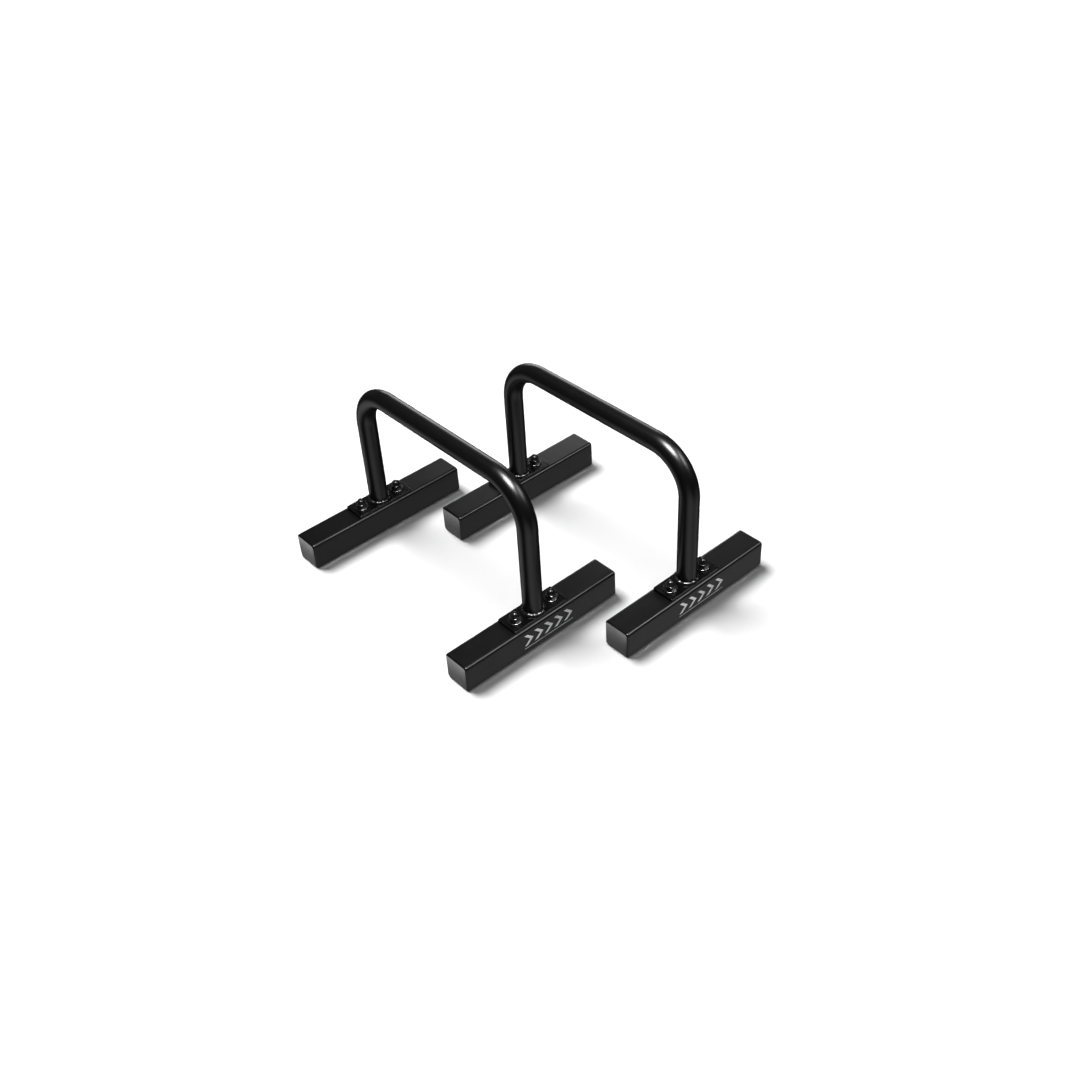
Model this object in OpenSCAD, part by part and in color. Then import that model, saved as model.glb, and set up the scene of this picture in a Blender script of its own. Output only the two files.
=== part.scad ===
// Pair of low parallel bars (parallettes).
// Two identical units stand side by side on the floor. Each unit is a round tube bent into a wide U,
// welded to two base plates, which are bolted on top of two square-tube feet.
// X runs along the feet, Y along the bars (front is -Y), Z is up.
// The origin is on the floor, midway between the two units.

/* [Bar] */
// Outside diameter of the round bar
bar_d = 33; // [28:1:40]
// Wall thickness of the round bar
bar_wall = 2; // [1.5:0.5:3]
// Height of the bar's centre line above the floor
bar_height = 288; // [240:4:400]
// Distance between the centre lines of a unit's two legs
leg_spacing = 410; // [360:10:600]
// Radius of each bend, measured on the tube's centre line
bend_r = 72; // [60:1:90]

/* [Feet] */
// Width and height of the square foot tube
foot_w = 50; // [46:2:60]
// Length of a foot over its two end caps
foot_len = 320; // [260:10:400]
// Wall thickness of the foot tube
foot_wall = 2; // [1.5:0.5:3]
// Outside corner radius of the foot tube
foot_corner_r = 5; // [4:0.5:6]
// Thickness of an end cap's visible head
cap_head_t = 4; // [3:0.5:6]

/* [Base plates] */
// Length of a base plate, along the foot
plate_len = 112; // [104:2:130]
// Width of a base plate, across the foot
plate_w = 42; // [38:1:44]
// Thickness of a base plate
plate_t = 5; // [4:1:8]
// Size of the weld bead around the foot of a leg
weld_size = 6; // [4:0.5:6]

/* [Fasteners] */
// Distance between the two bolts of a base plate
bolt_pitch = 76; // [74:1:80]
// Thread diameter of the bolts
bolt_d = 10; // [8:1:10]
// Outside diameter of the flat washers
washer_d = 24; // [22:1:26]
// Thickness of the flat washers
washer_t = 2; // [1.5:0.5:2.5]

/* [Layout] */
// Distance between the two units' bars
bar_spacing = 225; // [200:5:600]
// How far the right unit stands in front of the left one
stagger = 120; // [80:10:300]

/* [Hidden] */
$fn = 96;
LEFT = -1;
RIGHT = 1;
FRONT = -1;
REAR = 1;

// Colours: satin black powder coat, black plastic and black plated steel
coat_black = [0.055, 0.055, 0.06];
plate_black = [0.045, 0.045, 0.05];
weld_black = [0.075, 0.075, 0.08];
cap_black = [0.035, 0.035, 0.038];
bolt_black = [0.09, 0.09, 0.095];

// Heights of the stacked pieces above the floor
plate_z = foot_w;
weld_z = plate_z + plate_t;
washer_z = weld_z;
nut_z = washer_z + washer_t;

// Round bar
bar_r = bar_d / 2;
straight_half = leg_spacing / 2 - bend_r;
bend_z = bar_height - bend_r;
leg_len = bend_z - weld_z;

// Foot tube and its holes
foot_tube_len = foot_len - 2 * cap_head_t;
foot_inner_w = foot_w - 2 * foot_wall;
foot_inner_r = foot_corner_r - foot_wall;
hole_play = 1;
bolt_hole_d = bolt_d + hole_play;
access_hole_d = 2.3 * bolt_d;

// End caps
cap_edge_r = 0.85 * cap_head_t;
plug_play = 0.4;
plug_w = foot_inner_w - plug_play;
plug_len = 20;
plug_wall = 2.5;
plug_lip_len = 3;
plug_core_w = plug_w - 1.6;

// Base plates
plate_corner_r = 3;

// Bolts and dome nuts, in proportion to the thread
hex_w = 1.7 * bolt_d;
hex_corner_d = hex_w / cos(30);
hex_chamfer = 0.08 * bolt_d;
bolt_head_h = 0.64 * bolt_d;
bolt_len = 1.9 * bolt_d;
thread_play = 0.1;
nut_hex_h = 0.8 * bolt_d;
dome_d = 1.35 * bolt_d;
dome_base_h = 0.1 * bolt_d;
nut_bore_depth = 1.15 * bolt_d;

// ---- Placing ----

// Moves one unit from the middle of the pair to its own place
module at_unit(side) {
    translate([side * bar_spacing / 2, -side * stagger / 2, 0])
        children();
}

// Moves a piece under one leg of a unit
module at_leg(side, end) {
    at_unit(side)
        translate([0, end * leg_spacing / 2, 0])
            children();
}

// Repeats a fastener at both bolt places of a base plate
module at_bolts() {
    for (x = [-bolt_pitch / 2, bolt_pitch / 2])
        translate([x, 0, 0])
            children();
}

// ---- Shared shapes ----

// Square outline with round corners, centred
module round_square(w, r) {
    square([w - 2 * r, w], center = true);
    square([w, w - 2 * r], center = true);
    for (x = [-1, 1], y = [-1, 1])
        translate([x * (w / 2 - r), y * (w / 2 - r)])
            circle(r = r);
}

// Square bar with round long edges, lying along X on the floor
module square_bar(len, w, r) {
    translate([-len / 2, 0, foot_w / 2])
        rotate([90, 0, 90])
            linear_extrude(height = len)
                round_square(w, r);
}

// Solid rod of radius r along a unit's bent centre line, from the plates up and over
module bent_rod(r) {
    for (end = [FRONT, REAR])
        translate([0, end * leg_spacing / 2, weld_z])
            cylinder(r = r, h = leg_len);
    for (end = [FRONT, REAR])
        translate([0, end * straight_half, bend_z])
            rotate([0, -90, 0])
                rotate([0, 0, end == REAR ? 0 : -90])
                    rotate_extrude(angle = 90)
                        translate([bend_r, 0])
                            circle(r = r);
    translate([0, -straight_half, bar_height])
        rotate([-90, 0, 0])
            cylinder(r = r, h = 2 * straight_half);
}

// Hexagonal prism with chamfered corners on its top face
module hex_body(h) {
    intersection() {
        cylinder(d = hex_corner_d, h = h, $fn = 6);
        union() {
            cylinder(d = hex_corner_d, h = h - hex_chamfer);
            translate([0, 0, h - hex_chamfer])
                cylinder(d1 = hex_corner_d, d2 = hex_w, h = hex_chamfer);
        }
    }
}

// ---- Pieces of one unit ----

// Round tube bent into a wide U: two legs, two bends and the grip
module bar_tube() {
    color(coat_black)
        difference() {
            bent_rod(bar_r);
            bent_rod(bar_r - bar_wall);
        }
}

// Flat plate with two bolt holes; the leg is welded to its middle
module base_plate() {
    color(plate_black)
        translate([0, 0, plate_z])
            difference() {
                linear_extrude(height = plate_t)
                    plate_outline();
                at_bolts()
                    translate([0, 0, -1])
                        cylinder(d = bolt_hole_d, h = plate_t + 2);
            }
}

module plate_outline() {
    square([plate_len - 2 * plate_corner_r, plate_w], center = true);
    square([plate_len, plate_w - 2 * plate_corner_r], center = true);
    for (x = [-1, 1], y = [-1, 1])
        translate([x * (plate_len / 2 - plate_corner_r), y * (plate_w / 2 - plate_corner_r)])
            circle(r = plate_corner_r);
}

// Quarter-round weld around the bottom of a leg
module weld_bead() {
    color(weld_black)
        translate([0, 0, weld_z])
            rotate_extrude()
                translate([bar_r, 0])
                    intersection() {
                        circle(r = weld_size);
                        square(weld_size);
                    }
}

// Square tube with bolt holes in its top wall and larger access holes for the bolt heads below
module foot_tube() {
    color(coat_black)
        difference() {
            square_bar(foot_tube_len, foot_w, foot_corner_r);
            square_bar(foot_tube_len + 2, foot_inner_w, foot_inner_r);
            at_bolts() {
                translate([0, 0, foot_w - foot_wall - 1])
                    cylinder(d = bolt_hole_d, h = foot_wall + 2);
                translate([0, 0, -1])
                    cylinder(d = access_hole_d, h = foot_wall + 2);
            }
        }
}

// Plastic plug with a round-edged head; dir is the way the head faces along X
module foot_cap(dir) {
    color(cap_black)
        translate([dir * foot_tube_len / 2, 0, foot_w / 2])
            rotate([0, 0, dir > 0 ? 0 : 180]) {
                cap_head();
                cap_plug();
            }
}

// Head of a cap: its outline is the tube's, and its outer edges are round
module cap_head() {
    intersection() {
        rotate([90, 0, 90])
            linear_extrude(height = cap_head_t)
                round_square(foot_w, foot_corner_r);
        translate([0, 0, -foot_w / 2])
            linear_extrude(height = foot_w)
                cap_profile();
        translate([0, foot_w / 2, 0])
            rotate([90, 0, 0])
                linear_extrude(height = foot_w)
                    cap_profile();
    }
}

// Section through a cap's head, with its two outer corners round
module cap_profile() {
    translate([0, -foot_w / 2])
        square([cap_head_t - cap_edge_r, foot_w]);
    translate([0, -foot_w / 2 + cap_edge_r])
        square([cap_head_t, foot_w - 2 * cap_edge_r]);
    for (y = [-1, 1])
        translate([cap_head_t - cap_edge_r, y * (foot_w / 2 - cap_edge_r)])
            circle(r = cap_edge_r);
}

// Hollow plug behind a cap's head: a core with two raised lips that grip the tube
module cap_plug() {
    difference() {
        union() {
            plug_bar(plug_len, plug_core_w);
            for (i = [1, 3])
                translate([-i * plug_len / 4, 0, 0])
                    plug_bar(plug_lip_len, plug_w);
        }
        plug_bar(plug_len + 1, plug_core_w - 2 * plug_wall);
    }
}

module plug_bar(len, w) {
    translate([-len, 0, 0])
        rotate([90, 0, 90])
            linear_extrude(height = len)
                round_square(w, foot_inner_r);
}

// Hexagon-head bolts, their heads inside the foot against its top wall
module bolts() {
    color(bolt_black)
        at_bolts()
            translate([0, 0, foot_w - foot_wall]) {
                cylinder(d = bolt_d, h = bolt_len);
                rotate([180, 0, 0])
                    hex_body(bolt_head_h);
            }
}

module washers() {
    color(bolt_black)
        at_bolts()
            translate([0, 0, washer_z])
                difference() {
                    cylinder(d = washer_d, h = washer_t);
                    translate([0, 0, -1])
                        cylinder(d = bolt_hole_d, h = washer_t + 2);
                }
}

// Dome nuts: a hexagon under a closed round dome, with a blind threaded bore
module dome_nuts() {
    color(bolt_black)
        at_bolts()
            translate([0, 0, nut_z])
                difference() {
                    union() {
                        hex_body(nut_hex_h);
                        translate([0, 0, nut_hex_h])
                            cylinder(d = dome_d, h = dome_base_h);
                        translate([0, 0, nut_hex_h + dome_base_h])
                            dome(dome_d / 2);
                    }
                    translate([0, 0, -1])
                        cylinder(d = bolt_d + thread_play, h = nut_bore_depth + 1);
                }
}

module dome(r) {
    rotate_extrude()
        intersection() {
            circle(r = r);
            square(r);
        }
}

// ---- Left unit ----
at_unit(LEFT) bar_tube();  // left_bar_tube
at_leg(LEFT, FRONT) base_plate();  // left_front_base_plate
at_leg(LEFT, REAR) base_plate();  // left_rear_base_plate
at_leg(LEFT, FRONT) weld_bead();  // left_front_weld_bead
at_leg(LEFT, REAR) weld_bead();  // left_rear_weld_bead
at_leg(LEFT, FRONT) foot_tube();  // left_front_foot_tube
at_leg(LEFT, REAR) foot_tube();  // left_rear_foot_tube
at_leg(LEFT, FRONT) foot_cap(LEFT);  // left_front_foot_outer_cap
at_leg(LEFT, FRONT) foot_cap(RIGHT);  // left_front_foot_inner_cap
at_leg(LEFT, REAR) foot_cap(LEFT);  // left_rear_foot_outer_cap
at_leg(LEFT, REAR) foot_cap(RIGHT);  // left_rear_foot_inner_cap
at_leg(LEFT, FRONT) bolts();  // left_front_bolts
at_leg(LEFT, REAR) bolts();  // left_rear_bolts
at_leg(LEFT, FRONT) washers();  // left_front_washers
at_leg(LEFT, REAR) washers();  // left_rear_washers
at_leg(LEFT, FRONT) dome_nuts();  // left_front_dome_nuts
at_leg(LEFT, REAR) dome_nuts();  // left_rear_dome_nuts

// ---- Right unit ----
at_unit(RIGHT) bar_tube();  // right_bar_tube
at_leg(RIGHT, FRONT) base_plate();  // right_front_base_plate
at_leg(RIGHT, REAR) base_plate();  // right_rear_base_plate
at_leg(RIGHT, FRONT) weld_bead();  // right_front_weld_bead
at_leg(RIGHT, REAR) weld_bead();  // right_rear_weld_bead
at_leg(RIGHT, FRONT) foot_tube();  // right_front_foot_tube
at_leg(RIGHT, REAR) foot_tube();  // right_rear_foot_tube
at_leg(RIGHT, FRONT) foot_cap(RIGHT);  // right_front_foot_outer_cap
at_leg(RIGHT, FRONT) foot_cap(LEFT);  // right_front_foot_inner_cap
at_leg(RIGHT, REAR) foot_cap(RIGHT);  // right_rear_foot_outer_cap
at_leg(RIGHT, REAR) foot_cap(LEFT);  // right_rear_foot_inner_cap
at_leg(RIGHT, FRONT) bolts();  // right_front_bolts
at_leg(RIGHT, REAR) bolts();  // right_rear_bolts
at_leg(RIGHT, FRONT) washers();  // right_front_washers
at_leg(RIGHT, REAR) washers();  // right_rear_washers
at_leg(RIGHT, FRONT) dome_nuts();  // right_front_dome_nuts
at_leg(RIGHT, REAR) dome_nuts();  // right_rear_dome_nuts
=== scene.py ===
import math
import random

import bmesh
import bpy
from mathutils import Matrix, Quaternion, Vector


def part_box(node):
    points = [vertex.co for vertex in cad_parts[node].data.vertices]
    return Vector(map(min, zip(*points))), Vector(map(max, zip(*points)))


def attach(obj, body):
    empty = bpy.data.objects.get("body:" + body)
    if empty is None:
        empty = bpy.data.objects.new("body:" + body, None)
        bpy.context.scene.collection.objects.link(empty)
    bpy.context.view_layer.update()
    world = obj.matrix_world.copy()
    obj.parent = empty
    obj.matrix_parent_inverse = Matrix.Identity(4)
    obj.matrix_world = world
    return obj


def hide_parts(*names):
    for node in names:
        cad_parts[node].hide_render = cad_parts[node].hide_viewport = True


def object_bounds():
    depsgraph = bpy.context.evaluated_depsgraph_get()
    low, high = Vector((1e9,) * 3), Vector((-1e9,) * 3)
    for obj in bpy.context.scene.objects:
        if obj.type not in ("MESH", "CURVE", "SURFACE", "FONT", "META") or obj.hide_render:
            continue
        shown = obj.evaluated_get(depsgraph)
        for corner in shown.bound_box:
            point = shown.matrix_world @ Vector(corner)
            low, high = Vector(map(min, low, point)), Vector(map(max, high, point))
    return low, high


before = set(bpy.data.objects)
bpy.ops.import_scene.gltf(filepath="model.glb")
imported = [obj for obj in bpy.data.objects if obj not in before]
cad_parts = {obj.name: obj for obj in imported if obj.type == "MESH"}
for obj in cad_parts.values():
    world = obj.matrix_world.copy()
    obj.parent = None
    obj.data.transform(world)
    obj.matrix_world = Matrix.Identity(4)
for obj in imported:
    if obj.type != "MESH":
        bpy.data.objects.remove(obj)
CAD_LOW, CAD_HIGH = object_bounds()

MM = 0.001
SIDES = ("left", "right")
ENDS = ("front", "rear")
CENTRE = (CAD_LOW + CAD_HIGH) / 2


# ---- Camera ----

CAMERA_AZIMUTH = -39.77
CAMERA_ELEVATION = 39.49
CAMERA_ROLL = -3.54
CAMERA_DISTANCE = 1.954
CAMERA_AIM = Vector((-0.0659, -0.1169, 0.0))
SENSOR_WIDTH = 36.0
LENS = 41.7


def direction(azimuth, elevation):
    """Unit vector from the object towards a place at that azimuth and elevation, in degrees."""
    a = math.radians(azimuth)
    e = math.radians(elevation)
    return Vector((math.sin(a) * math.cos(e), -math.cos(a) * math.cos(e), math.sin(e)))


def make_camera():
    data = bpy.data.cameras.new("camera")
    data.lens = LENS
    data.sensor_width = SENSOR_WIDTH
    camera = bpy.data.objects.new("camera", data)
    bpy.context.scene.collection.objects.link(camera)
    back = direction(CAMERA_AZIMUTH, CAMERA_ELEVATION)
    camera.location = CENTRE + CAMERA_AIM + back * CAMERA_DISTANCE
    camera.rotation_mode = "QUATERNION"
    turn = (-back).to_track_quat("-Z", "Y")
    camera.rotation_quaternion = turn @ Quaternion((0, 0, 1), math.radians(CAMERA_ROLL))
    bpy.context.scene.camera = camera


# ---- Light and floor ----

LIGHT_DISTANCE = 2.5
# Strength, width in degrees, and azimuth and elevation of the sun
KEY_POWER = 4.2
KEY_WIDTH = 32
KEY_PLACE = (-166, 60)
# Name, azimuth, elevation, size in metres and brightness of each soft box
SOFT_BOXES = (
    ("overhead_box", -30, 74, (1.3, 1.3), 80),
    ("back_right_box", 134, 15, (1.8, 1.0), 5),
    ("front_right_box", 42, 42, (1.5, 0.9), 20),
)
# Brightness of the surroundings in gloss, above and below a soft horizon, and for the camera
SKY_GLOSS = 0.2
GROUND_GLOSS = 0.05
HORIZON_BLEND = 0.1
BACKDROP_LIGHT = 1.05
# Azimuth, elevation, reach in degrees and brightness of the glows that side faces mirror
GLOWS = ((-34, -39, 38, 1.9), (34, -39, 34, 1.05), (-138, -39, 32, 1.2))
FLOOR_SIZE = 60
FLOOR_DROP = 0.2 * MM
FLOOR_GREY = 0.9
FLOOR_ROUGHNESS = 0.8
FLOOR_SPECULAR = 0.1


def aim_light(light, azimuth, elevation):
    away = direction(azimuth, elevation)
    light.location = Vector((0, 0, CENTRE.z)) + away * LIGHT_DISTANCE
    light.rotation_mode = "QUATERNION"
    light.rotation_quaternion = (-away).to_track_quat("-Z", "Y")


def add_light(name, data):
    light = bpy.data.objects.new(name, data)
    bpy.context.scene.collection.objects.link(light)
    return light


def make_key():
    """Wide soft sun from behind the left: it lights the floor evenly and casts the shadows."""
    data = bpy.data.lights.new("key", "SUN")
    data.energy = KEY_POWER
    data.angle = math.radians(KEY_WIDTH)
    key = add_light("key", data)
    aim_light(key, *KEY_PLACE)
    key.visible_glossy = False


def make_soft_box(name, azimuth, elevation, size, radiance):
    """Oval soft box that shows only as gloss; radiance is how bright its surface looks."""
    data = bpy.data.lights.new(name, "AREA")
    data.shape = "ELLIPSE"
    data.size, data.size_y = size
    area = math.pi / 4 * size[0] * size[1]
    data.energy = radiance * math.pi * area
    box = add_light(name, data)
    aim_light(box, azimuth, elevation)
    box.visible_diffuse = False


def add_glow(tree, place, azimuth, elevation, reach, level):
    """Soft round glow in one direction of the surroundings, reach degrees wide to each side."""
    dot = tree.nodes.new("ShaderNodeVectorMath")
    dot.operation = "DOT_PRODUCT"
    dot.inputs[1].default_value = direction(azimuth, elevation)
    tree.links.new(place, dot.inputs[0])
    glow = tree.nodes.new("ShaderNodeMapRange")
    glow.interpolation_type = "SMOOTHSTEP"
    glow.inputs["From Min"].default_value = math.cos(math.radians(reach))
    glow.inputs["To Max"].default_value = level
    tree.links.new(dot.outputs["Value"], glow.inputs["Value"])
    return glow.outputs["Result"]


def make_world():
    """Dim surroundings with soft glows off the floor; white where the camera sees past the floor."""
    world = bpy.data.worlds.new("studio")
    world.use_nodes = True
    tree = world.node_tree
    background = tree.nodes["Background"]
    background.inputs["Color"].default_value = (1, 1, 1, 1)
    place = tree.nodes.new("ShaderNodeTexCoord").outputs["Generated"]
    height = tree.nodes.new("ShaderNodeSeparateXYZ")
    tree.links.new(place, height.inputs[0])
    sky = tree.nodes.new("ShaderNodeMapRange")
    sky.inputs["From Min"].default_value = -HORIZON_BLEND
    sky.inputs["From Max"].default_value = HORIZON_BLEND
    sky.inputs["To Min"].default_value = GROUND_GLOSS
    sky.inputs["To Max"].default_value = SKY_GLOSS
    tree.links.new(height.outputs["Z"], sky.inputs["Value"])
    total = sky.outputs["Result"]
    for azimuth, elevation, reach, level in GLOWS:
        both = tree.nodes.new("ShaderNodeMath")
        tree.links.new(total, both.inputs[0])
        tree.links.new(add_glow(tree, place, azimuth, elevation, reach, level), both.inputs[1])
        total = both.outputs[0]
    path = tree.nodes.new("ShaderNodeLightPath")
    strength = tree.nodes.new("ShaderNodeMapRange")
    strength.inputs["To Max"].default_value = BACKDROP_LIGHT
    tree.links.new(path.outputs["Is Camera Ray"], strength.inputs["Value"])
    tree.links.new(total, strength.inputs["To Min"])
    tree.links.new(strength.outputs["Result"], background.inputs["Strength"])
    bpy.context.scene.world = world


def make_floor():
    """Plain pale floor; gloss looks past it, at the glows of the surroundings."""
    bpy.ops.mesh.primitive_plane_add(size=FLOOR_SIZE, location=(0, 0, -FLOOR_DROP))
    floor = bpy.context.object
    floor.name = "floor"
    material = bpy.data.materials.new("floor")
    material.use_nodes = True
    shader = material.node_tree.nodes["Principled BSDF"]
    shader.inputs["Base Color"].default_value = (FLOOR_GREY, FLOOR_GREY, FLOOR_GREY, 1)
    shader.inputs["Roughness"].default_value = FLOOR_ROUGHNESS
    shader.inputs["Specular IOR Level"].default_value = FLOOR_SPECULAR
    floor.data.materials.append(material)
    floor.visible_glossy = False


def make_studio():
    make_world()
    make_floor()
    make_key()
    for box in SOFT_BOXES:
        make_soft_box(*box)


# ---- Materials ----

BEVEL_SAMPLES = 8
# How closely a face's own and its bevelled direction agree on open faces and on worn edges
EDGE_FLAT = 0.995
EDGE_SHARP = 0.9
COAT_SPECULAR = 0.32
COAT_GRAIN = 700
COAT_TINT = 0.03
COAT_GLOSS_CLOUD = 0.02
WELD_SPECULAR = 0.3
STEEL_SPECULAR = 0.3
PLASTIC_SPECULAR = 0.4
# Part of the noise's range that its values mostly fill
NOISE_LOW = 0.3
NOISE_HIGH = 0.7
# Heights on an end cap's face where the painted sheen, a lighter grey that stands in for light from
# above, begins and is full
SHEEN_LOW = 8 * MM
SHEEN_HIGH = 52 * MM
SHEEN_CURVE = 2.2


class Graph:
    """A small helper that adds shader nodes to one material and links them."""

    def __init__(self, name):
        self.material = bpy.data.materials.new(name)
        self.material.use_nodes = True
        self.tree = self.material.node_tree
        self.shader = self.tree.nodes["Principled BSDF"]
        self.place = self.add("ShaderNodeTexCoord").outputs["Object"]

    def add(self, kind, **settings):
        node = self.tree.nodes.new(kind)
        for key, value in settings.items():
            setattr(node, key, value)
        return node

    def feed(self, socket, value):
        if isinstance(value, bpy.types.NodeSocket):
            self.tree.links.new(value, socket)
        else:
            socket.default_value = value

    def noise(self, scale, detail=2.0):
        node = self.add("ShaderNodeTexNoise")
        self.feed(node.inputs["Vector"], self.place)
        node.inputs["Scale"].default_value = scale
        node.inputs["Detail"].default_value = detail
        return node.outputs["Fac"]

    def spread(self, value, low, high, to_low, to_high):
        """Stretches value from low...high to to_low...to_high and cuts it off there."""
        node = self.add("ShaderNodeMapRange")
        self.feed(node.inputs["Value"], value)
        node.inputs["From Min"].default_value = low
        node.inputs["From Max"].default_value = high
        node.inputs["To Min"].default_value = to_low
        node.inputs["To Max"].default_value = to_high
        return node.outputs["Result"]

    def drift(self, scale, low, high, detail=3):
        """A value that wanders from low to high with the noise."""
        return self.spread(self.noise(scale, detail), NOISE_LOW, NOISE_HIGH, low, high)

    def math(self, operation, a, b):
        node = self.add("ShaderNodeMath", operation=operation)
        self.feed(node.inputs[0], a)
        self.feed(node.inputs[1], b)
        return node.outputs[0]

    def mix(self, share, colour_a, colour_b):
        node = self.add("ShaderNodeMix", data_type="RGBA")
        self.feed(node.inputs["Factor"], share)
        self.feed(node.inputs["A"], colour_a)
        self.feed(node.inputs["B"], colour_b)
        return node.outputs["Result"]

    def bump(self, height, strength, distance):
        node = self.add("ShaderNodeBump")
        self.feed(node.inputs["Height"], height)
        node.inputs["Strength"].default_value = strength
        node.inputs["Distance"].default_value = distance
        self.tree.links.new(node.outputs["Normal"], self.shader.inputs["Normal"])

    def worn_edges(self, radius):
        """1 where a sharp outer edge is within radius, 0 on open faces."""
        bevel = self.add("ShaderNodeBevel", samples=BEVEL_SAMPLES)
        bevel.inputs["Radius"].default_value = radius
        here = self.add("ShaderNodeNewGeometry").outputs["Normal"]
        dot = self.add("ShaderNodeVectorMath", operation="DOT_PRODUCT")
        self.tree.links.new(bevel.outputs["Normal"], dot.inputs[0])
        self.tree.links.new(here, dot.inputs[1])
        return self.spread(dot.outputs["Value"], EDGE_FLAT, EDGE_SHARP, 0.0, 1.0)


def grey(value, tint=0.0):
    """Grey colour; tint makes its blue that share stronger."""
    return (value, value, value * (1 + tint), 1)


def powder_coat(name, base, roughness):
    """Satin powder coat: fine orange peel, cloudy gloss and lighter worn edges."""
    g = Graph(name)
    dark = grey(base * 0.85, COAT_TINT)
    light = grey(base * 1.2, COAT_TINT)
    colour = g.mix(g.noise(9, detail=3), dark, light)
    wear_and_sheen = g.spread(g.noise(60), 0.4, 0.65, 0.1, 0.4)
    edges = g.math("MULTIPLY", g.worn_edges(0.6 * MM), wear_and_sheen)
    g.feed(g.shader.inputs["Base Color"], g.mix(edges, colour, grey(base * 4)))
    rough = g.drift(38, roughness - COAT_GLOSS_CLOUD, roughness + COAT_GLOSS_CLOUD, detail=4)
    g.feed(g.shader.inputs["Roughness"], rough)
    g.shader.inputs["Specular IOR Level"].default_value = COAT_SPECULAR
    g.bump(g.noise(COAT_GRAIN), strength=0.16, distance=0.12 * MM)
    return g.material


def weld_coat():
    """Glossier coat that has flowed over the lumps of the weld."""
    g = Graph("weld_coat")
    g.feed(g.shader.inputs["Base Color"], g.mix(g.noise(60), grey(0.010), grey(0.026)))
    g.shader.inputs["Specular IOR Level"].default_value = WELD_SPECULAR
    g.feed(g.shader.inputs["Roughness"], g.drift(120, 0.16, 0.34))
    g.bump(g.noise(420, detail=3), strength=0.35, distance=0.35 * MM)
    return g.material


def moulded_plastic():
    """Black moulded plastic with a fine grain, painted greyer towards its top: a painted sheen of
    light from above.
    """
    g = Graph("moulded_plastic")
    height = g.add("ShaderNodeSeparateXYZ")
    g.feed(height.inputs[0], g.place)
    cloud = g.math("MULTIPLY", g.noise(30), 6 * MM)
    level = g.math("ADD", height.outputs["Z"], cloud)
    # Painted sheen: the face is painted from near black at the bottom to grey at the top, standing
    # in for light from above.
    wear_and_sheen = g.math("POWER", g.spread(level, SHEEN_LOW, SHEEN_HIGH, 0.0, 1.0), SHEEN_CURVE)
    g.feed(g.shader.inputs["Base Color"], g.mix(wear_and_sheen, grey(0.006), grey(0.3)))
    g.shader.inputs["Specular IOR Level"].default_value = PLASTIC_SPECULAR
    g.feed(g.shader.inputs["Roughness"], g.drift(150, 0.27, 0.33))
    g.bump(g.noise(700), strength=0.06, distance=0.05 * MM)
    return g.material


def black_steel(name, shine):
    """Black-plated fastener steel, worn lighter on its corners; shine is 1 for bare metal."""
    g = Graph(name)
    dark = grey(0.012 + 0.1 * shine)
    light = grey(0.03 + 0.14 * shine)
    colour = g.mix(g.noise(220, detail=3), dark, light)
    edges = g.math("MULTIPLY", g.worn_edges(0.5 * MM), 0.6)
    colour = g.mix(edges, colour, grey(0.16 + 0.3 * shine))
    g.feed(g.shader.inputs["Base Color"], colour)
    g.shader.inputs["Metallic"].default_value = shine
    g.shader.inputs["Specular IOR Level"].default_value = STEEL_SPECULAR
    g.feed(g.shader.inputs["Roughness"], g.drift(350, 0.12, 0.3))
    g.bump(g.noise(900), strength=0.12, distance=0.1 * MM)
    return g.material


def printed_ink():
    """Off-white screen print, a little uneven and worn."""
    g = Graph("printed_ink")
    wear_and_sheen = g.spread(g.noise(900, detail=3), 0.66, 0.78, 0.0, 0.5)
    g.feed(g.shader.inputs["Base Color"], g.mix(wear_and_sheen, grey(0.9), grey(0.5)))
    g.feed(g.shader.inputs["Roughness"], g.drift(300, 0.4, 0.55, detail=2))
    g.bump(g.noise(1400, detail=1), strength=0.15, distance=0.03 * MM)
    return g.material


# ---- Pieces ----

MERGE_DISTANCE = 0.005 * MM
# In degrees: faces that turn less are merged, and edges that turn more are rounded
FLAT_ANGLE = 1
SHARP_ANGLE = 35
EDGE_SEGMENTS = 3
EDGE_ROUNDING = 0.8 * MM


def new_piece(name, mesh_data, material, body):
    """Makes a smooth-shaded object with its faces outward, for a body and a material slot."""
    bmesh.ops.recalc_face_normals(mesh_data, faces=mesh_data.faces)
    if mesh_data.calc_volume(signed=True) < 0:
        bmesh.ops.reverse_faces(mesh_data, faces=mesh_data.faces)
    mesh = bpy.data.meshes.new(name)
    mesh_data.to_mesh(mesh)
    mesh_data.free()
    for polygon in mesh.polygons:
        polygon.use_smooth = True
    mesh.materials.append(material)
    piece = bpy.data.objects.new(name, mesh)
    bpy.context.scene.collection.objects.link(piece)
    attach(piece, body)
    return piece


def paint(node, material):
    """Gives a CAD node its material and returns the node's object."""
    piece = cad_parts[node]
    piece.data.materials.clear()
    piece.data.materials.append(material)
    return piece


def round_edges(piece, width):
    """Joins a CAD node's faces, merges the flat ones and rounds its sharp edges."""
    joined = piece.modifiers.new("joined", "WELD")
    joined.merge_threshold = MERGE_DISTANCE
    flat = piece.modifiers.new("flat_faces", "DECIMATE")
    flat.decimate_type = "DISSOLVE"
    flat.angle_limit = math.radians(FLAT_ANGLE)
    bevel = piece.modifiers.new("edges", "BEVEL")
    bevel.width = width
    bevel.segments = EDGE_SEGMENTS
    bevel.limit_method = "ANGLE"
    bevel.angle_limit = math.radians(SHARP_ANGLE)
    bevel.use_clamp_overlap = False
    bevel.harden_normals = True


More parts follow.
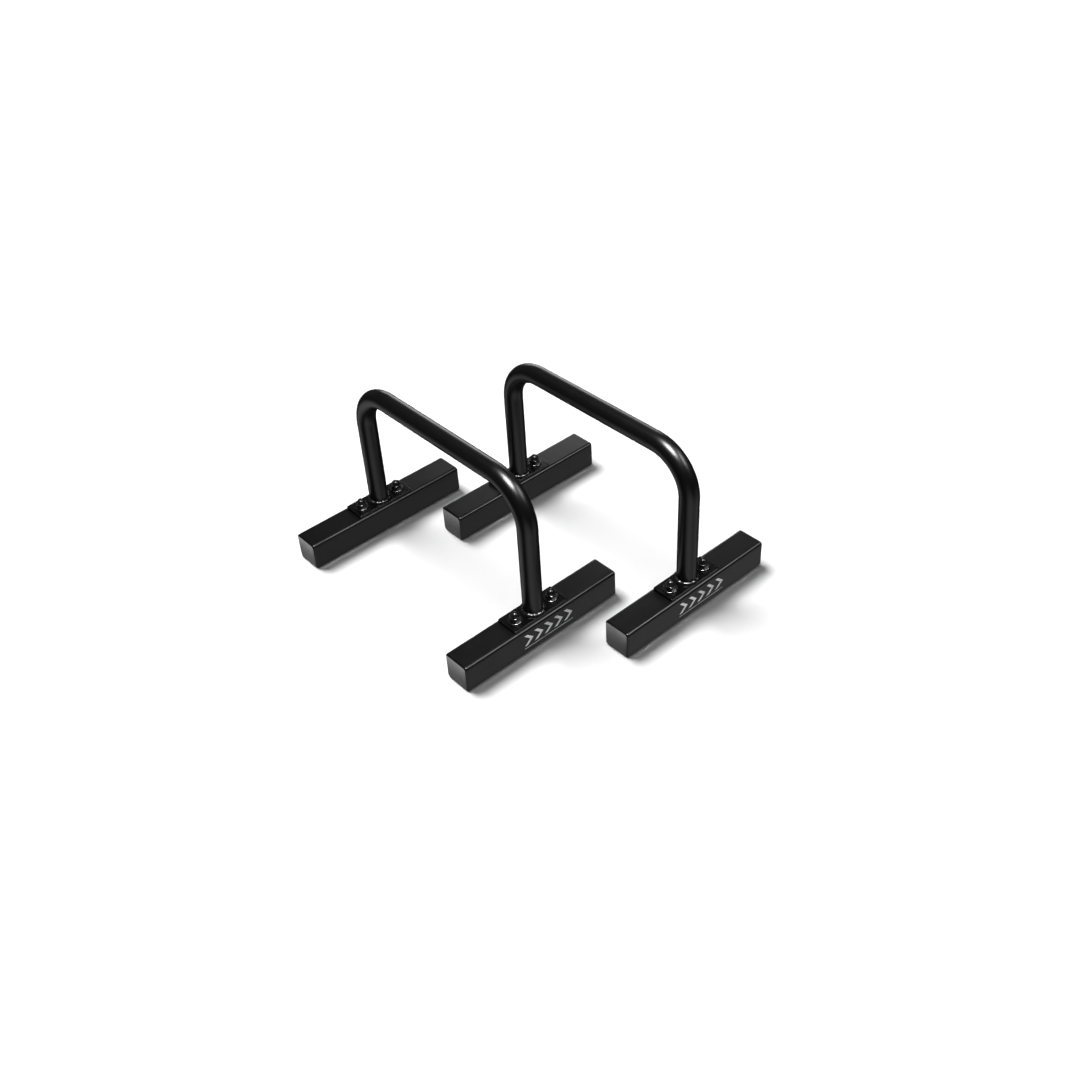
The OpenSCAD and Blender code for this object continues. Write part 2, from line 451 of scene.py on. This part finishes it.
def bridge_rings(mesh_data, rings, closed=False, second_from=None):
    """Joins each ring of vertices to the next with quads; closed also joins the last to the first.

    The bands from number second_from on take the piece's second material.
    """
    pairs = list(zip(rings, rings[1:]))
    if closed:
        pairs.append((rings[-1], rings[0]))
    for band, (one, other) in enumerate(pairs):
        second = second_from is not None and band >= second_from
        count = len(one)
        for i in range(count):
            j = (i + 1) % count
            face = mesh_data.faces.new((one[i], one[j], other[j], other[i]))
            face.material_index = int(second)


# ---- Weld beads ----

WELD_RIPPLES = 37
WELD_STEPS = 8
WELD_PROFILE = 14
# Shares of the bead's full size: its mean reach, its ripples and each of its slow lumps
WELD_SHARE = 0.8
WELD_RIPPLE = 0.02
WELD_LUMP = 0.045
WELD_RIPPLE_CURVE = 0.7
WELD_LEAN = 0.7
WELD_LUMP_COUNTS = (3, 5, 8, 12)
# The bead goes this far into the leg's wall
WELD_SINK = 0.3 * MM


def weld_reach(turn, rise, lumps):
    """How far the bead stands out, as a share of its full size: ripples over slow lumps."""
    phase = WELD_RIPPLES * turn / 2 + WELD_LEAN * math.sin(2 * rise)
    ripple = WELD_RIPPLE * abs(math.cos(phase)) ** WELD_RIPPLE_CURVE
    slow = sum(WELD_LUMP * math.cos(count * turn + start) for count, start in lumps)
    return WELD_SHARE + ripple + slow


def make_weld(side, end, material, rng):
    """Fillet weld around a leg: a row of overlapping ripples that the paint has softened."""
    node = f"{side}_{end}_weld_bead"
    low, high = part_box(node)
    tube_low, tube_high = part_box(f"{side}_bar_tube")
    tube_radius = (tube_high.x - tube_low.x) / 2
    size = high.z - low.z
    centre = Vector(((low.x + high.x) / 2, (low.y + high.y) / 2, low.z))
    lumps = [(count, rng.uniform(0, 2 * math.pi)) for count in WELD_LUMP_COUNTS]
    steps = WELD_RIPPLES * WELD_STEPS
    mesh_data = bmesh.new()
    rings = []
    for k in range(WELD_PROFILE + 1):
        rise = math.pi / 2 * k / WELD_PROFILE
        ring = []
        for i in range(steps):
            turn = 2 * math.pi * i / steps
            reach = size * weld_reach(turn, rise, lumps)
            radius = tube_radius + reach * math.cos(rise)
            height = reach * math.sin(rise)
            spot = Vector((radius * math.cos(turn), radius * math.sin(turn), height))
            ring.append(mesh_data.verts.new(centre + spot))
        rings.append(ring)
    radius = tube_radius - WELD_SINK
    for height in (size * WELD_SHARE, 0):
        ring = []
        for i in range(steps):
            turn = 2 * math.pi * i / steps
            spot = Vector((radius * math.cos(turn), radius * math.sin(turn), height))
            ring.append(mesh_data.verts.new(centre + spot))
        rings.append(ring)
    bridge_rings(mesh_data, rings, closed=True)
    piece = new_piece(f"{side}_{end}_weld", mesh_data, material, f"{side}_unit")
    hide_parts(node)


# ---- End caps ----

CAP_CORNER = 5 * MM
CAP_EDGE = 3.2 * MM
CAP_CROWN = 0.9 * MM
CAP_PLUG = 20 * MM
CAP_PLUG_WALL = 2.5 * MM
CAP_CORNER_STEPS = 8
CAP_EDGE_STEPS = 6
CAP_SIDE_STEPS = 8
CAP_FACE_RINGS = 8
CAP_SHARP_ANGLE = 50
# Share of a full quarter turn that the rounded edge covers before the face begins
CAP_EDGE_TURN = 0.93
# How much the corner radius shrinks for each millimetre that the edge goes inward
CAP_CORNER_SHRINK = 0.5
# The plug's side stands this far inside the head's
CAP_PLUG_INSET = 2.2 * MM
CAP_PLUG_CORNER = 3 * MM
CAP_PLUG_BORE_CORNER = 2 * MM
CAP_PLUG_FLOOR = 2 * MM
# Bands of the plug and the rim; the last step of the rounded edge looks like the face
CAP_RIM_BANDS = 4 + CAP_EDGE_STEPS


def corner_point(sign, inset, corner, angle):
    """Point on the round corner of a square outline, in the quarter that sign names."""
    across = sign[0] * inset + corner * math.cos(angle)
    up = sign[1] * inset + corner * math.sin(angle)
    return across, up


def rounded_square(half, corner):
    """Points of a square outline with round corners, anticlockwise, as (across, up) pairs."""
    points = []
    inset = half - corner
    signs = ((1, 1), (-1, 1), (-1, -1), (1, -1))
    for quarter in range(4):
        turn = math.pi / 2 * quarter
        for k in range(CAP_CORNER_STEPS + 1):
            angle = turn + math.pi / 2 * k / CAP_CORNER_STEPS
            points.append(corner_point(signs[quarter], inset, corner, angle))
        start = points[-1]
        goal = corner_point(signs[(quarter + 1) % 4], inset, corner, turn + math.pi / 2)
        for k in range(1, CAP_SIDE_STEPS):
            share = k / CAP_SIDE_STEPS
            across = start[0] + (goal[0] - start[0]) * share
            up = start[1] + (goal[1] - start[1]) * share
            points.append((across, up))
    return points


def cap_rings(half, head):
    """(half width, corner radius, depth along the foot) of each ring, plug end first."""
    plug = half - CAP_PLUG_INSET
    bore = plug - CAP_PLUG_WALL
    side = head - CAP_CROWN - CAP_EDGE
    rings = [
        (bore, CAP_PLUG_BORE_CORNER, -CAP_PLUG_FLOOR),
        (bore, CAP_PLUG_BORE_CORNER, -CAP_PLUG),
        (plug, CAP_PLUG_CORNER, -CAP_PLUG),
        (plug, CAP_PLUG_CORNER, 0),
        (half, CAP_CORNER, 0),
        (half, CAP_CORNER, side),
    ]
    for k in range(1, CAP_EDGE_STEPS + 1):
        angle = math.pi / 2 * k / CAP_EDGE_STEPS * CAP_EDGE_TURN
        inward = CAP_EDGE * (1 - math.cos(angle))
        outward = CAP_EDGE * math.sin(angle)
        corner = CAP_CORNER - inward * CAP_CORNER_SHRINK
        rings.append((half - inward, corner, side + outward))
    face_half, face_corner, face_depth = rings[-1]
    rise = head - face_depth
    for k in range(1, CAP_FACE_RINGS):
        share = k / CAP_FACE_RINGS
        depth = face_depth + rise * (1 - (1 - share) ** 2)
        rings.append((face_half * (1 - share), face_corner * (1 - share), depth))
    return rings


def make_cap(side, end, place, rim_material, face_material):
    """Moulded end cap: a slightly crowned head with round edges, on a hollow plug."""
    node = f"{side}_{end}_foot_{place}_cap"
    low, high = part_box(node)
    tube_low, tube_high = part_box(f"{side}_{end}_foot_tube")
    faces_left = low.x < tube_low.x
    face = low.x if faces_left else high.x
    seat = tube_low.x if faces_left else tube_high.x
    out = -1 if faces_left else 1
    head = abs(face - seat)
    half = (high.z - low.z) / 2
    centre = Vector((seat, (low.y + high.y) / 2, (low.z + high.z) / 2))
    mesh_data = bmesh.new()
    rings = []
    for ring_half, corner, depth in cap_rings(half, head):
        spots = rounded_square(ring_half, corner)
        ring = [centre + Vector((out * depth, y, z)) for y, z in spots]
        rings.append([mesh_data.verts.new(spot) for spot in ring])
    bridge_rings(mesh_data, rings, second_from=CAP_RIM_BANDS)
    tip = mesh_data.verts.new(centre + Vector((out * head, 0, 0)))
    last = rings[-1]
    for i in range(len(last)):
        mesh_data.faces.new((last[i], last[(i + 1) % len(last)], tip)).material_index = 1
    mesh_data.faces.new(rings[0])
    name = f"{side}_{end}_{place}_cap"
    piece = new_piece(name, mesh_data, rim_material, f"{side}_unit")
    piece.data.materials.append(face_material)
    piece.data.set_sharp_from_angle(angle=math.radians(CAP_SHARP_ANGLE))
    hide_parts(node)


# ---- Printed mark ----

MARK_THICK = 0.15 * MM
MARK_BACK = 0.05 * MM
MARK_LEFT = -42 * MM
MARK_BASE = 17 * MM
MARK_HEIGHT = 22 * MM
MARK_POINT = 12 * MM
MARK_STROKE = 7 * MM
MARK_PITCH = 21 * MM
MARK_COUNT = 5
MARK_LINE_BASE = 11.5 * MM
MARK_LINE_WIDTH = 1.2 * MM


def add_flat_shape(mesh_data, outline):
    """Thin printed layer with an outline of (across, up) points, on the foot's front face."""
    back = [mesh_data.verts.new((x, MARK_BACK, z)) for x, z in outline]
    front = [mesh_data.verts.new((x, -MARK_THICK, z)) for x, z in outline]
    mesh_data.faces.new(front)
    mesh_data.faces.new(list(reversed(back)))
    for i in range(len(outline)):
        j = (i + 1) % len(outline)
        mesh_data.faces.new((front[j], front[i], back[i], back[j]))


def make_mark(side, material):
    """Plain printed pattern on a front foot: a row of chevrons over a thin line."""
    low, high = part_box(f"{side}_front_foot_tube")
    centre = Vector(((low.x + high.x) / 2, low.y, 0))
    mesh_data = bmesh.new()
    middle = MARK_BASE + MARK_HEIGHT / 2
    top = MARK_BASE + MARK_HEIGHT
    for i in range(MARK_COUNT):
        x = MARK_LEFT + i * MARK_PITCH
        tip = x + MARK_POINT
        inner = [(x, top), (tip, middle), (x, MARK_BASE)]
        outer = [(across + MARK_STROKE, up) for across, up in reversed(inner)]
        add_flat_shape(mesh_data, inner + outer)
    right = MARK_LEFT + (MARK_COUNT - 1) * MARK_PITCH + MARK_POINT + MARK_STROKE
    line_top = MARK_LINE_BASE + MARK_LINE_WIDTH
    line = (
        (MARK_LEFT, MARK_LINE_BASE),
        (right, MARK_LINE_BASE),
        (right, line_top),
        (MARK_LEFT, line_top),
    )
    add_flat_shape(mesh_data, line)
    for vert in mesh_data.verts:
        vert.co += centre
    piece = new_piece(f"{side}_front_mark", mesh_data, material, f"{side}_unit")
    for polygon in piece.data.polygons:
        polygon.use_smooth = False


# ---- The whole scene ----

SEED = 7
# Display gamma; below 1 it deepens the blacks
DISPLAY_GAMMA = 0.8

make_camera()
make_studio()
coat = powder_coat("powder_coat", 0.0045, 0.32)
plate_coat = powder_coat("plate_coat", 0.003, 0.26)
weld = weld_coat()
rim_plastic = powder_coat("cap_rim", 0.004, 0.3)
face_plastic = moulded_plastic()
nut_steel = black_steel("nut_steel", 0.0)
washer_steel = black_steel("washer_steel", 1.0)
ink = printed_ink()
rng = random.Random(SEED)
for side in SIDES:
    paint(f"{side}_bar_tube", coat)
    for end in ENDS:
        name = f"{side}_{end}"
        paint(f"{name}_foot_tube", coat)
        round_edges(paint(f"{name}_base_plate", plate_coat), EDGE_ROUNDING)
        paint(f"{name}_bolts", nut_steel)
        round_edges(paint(f"{name}_washers", washer_steel), EDGE_ROUNDING)
        paint(f"{name}_dome_nuts", nut_steel)
        make_weld(side, end, weld, rng)
        make_cap(side, end, "outer", rim_plastic, face_plastic)
        make_cap(side, end, "inner", rim_plastic, face_plastic)
    make_mark(side, ink)

bpy.context.scene.view_settings.view_transform = "Standard"
bpy.context.scene.view_settings.gamma = DISPLAY_GAMMA
